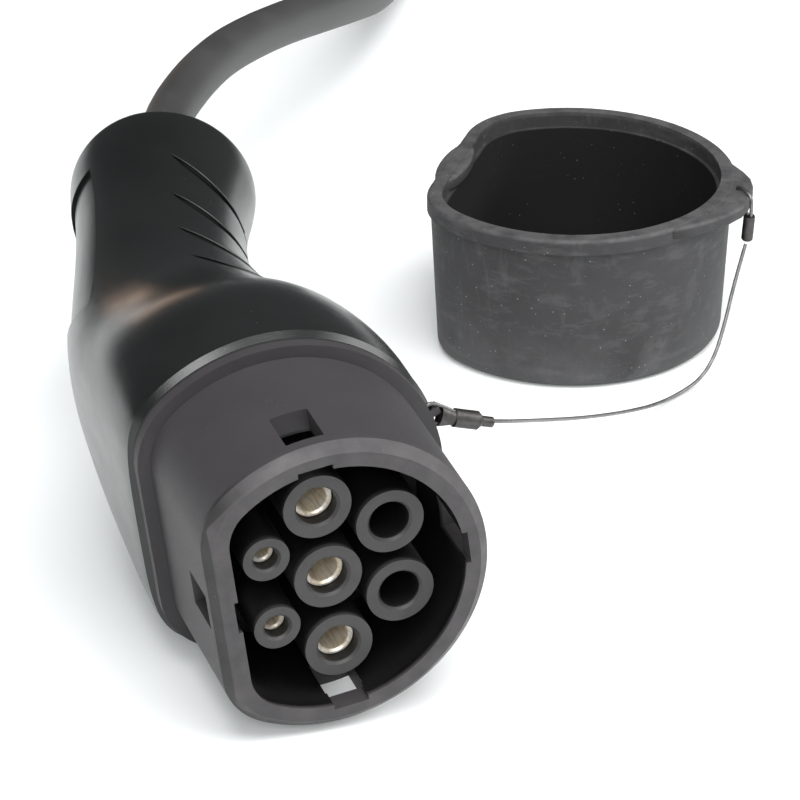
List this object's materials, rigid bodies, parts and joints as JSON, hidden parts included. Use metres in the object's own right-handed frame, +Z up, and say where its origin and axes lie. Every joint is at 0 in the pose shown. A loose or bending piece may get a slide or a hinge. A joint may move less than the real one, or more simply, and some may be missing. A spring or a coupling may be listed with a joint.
{
  "type": "electric vehicle charging connector",
  "caption": "Hand-held Type 2 vehicle charging connector on its side, with a thick cable, and a rubber dust cap on a thin wire lanyard standing open beside it.",
  "frame": {"origin": "table height, at the middle of the footprint of the connector and its dust cap", "axes": "+Z up from the table; the connector's nose points to -Y and its cable leaves to +Y"},
  "size_m": [0.2228, 0.543, 0.0721],
  "materials": {
    "shell_plastic": "satin black moulded plastic",
    "nose_plastic": "fine textured black plastic",
    "carrier_plastic": "matte dark grey plastic",
    "seal_rubber": "matte",
    "contact_metal": "silvered copper alloy, satin",
    "steel": "satin",
    "crimp_metal": "dull",
    "cable_jacket": "satin black sheath",
    "cap_rubber": "matte, dusty",
    "core_brown": "satin",
    "core_blue": "satin",
    "core_green": "satin",
    "core_orange": "satin",
    "tie_plastic": "matte",
    "resistor_body": "lacquered"
  },
  "bodies": {
    "root": {"body_shell": "shell_plastic", "nose_shroud": "nose_plastic", "contact_carrier": "carrier_plastic", "contact_retainer": "carrier_plastic", "retainer_screws": "steel", "flange_seal": "seal_rubber", "cable_grommet": "seal_rubber", "cable_clamp": "carrier_plastic", "clamp_screws": "steel", "coding_resistor": "resistor_body", "lanyard_loop_plug": "steel", "lanyard_crimp_plug": "crimp_metal", "lanyard_loop_cap": "steel", "lanyard_crimp_cap": "crimp_metal", "lanyard_wire": "steel", "dust_cap": "cap_rubber", "charging_cable": "cable_jacket", "cable_coil": "cable_jacket", "coil_tie_1": "tie_plastic", "coil_tie_2": "tie_plastic", "lead_end_sleeve": "seal_rubber", "contact_l1": "contact_metal", "contact_pe": "contact_metal", "contact_n": "contact_metal", "contact_cp": "contact_metal", "contact_pp": "contact_metal", "core_l1": "core_brown", "lead_core_l1": "core_brown", "lead_ferrule_l1": "crimp_metal", "core_pe": "core_green", "lead_core_pe": "core_green", "lead_ferrule_pe": "crimp_metal", "core_n": "core_blue", "lead_core_n": "core_blue", "lead_ferrule_n": "crimp_metal", "core_cp": "core_orange", "lead_core_cp": "core_orange", "lead_ferrule_cp": "crimp_metal"}
  },
  "joints": []
}
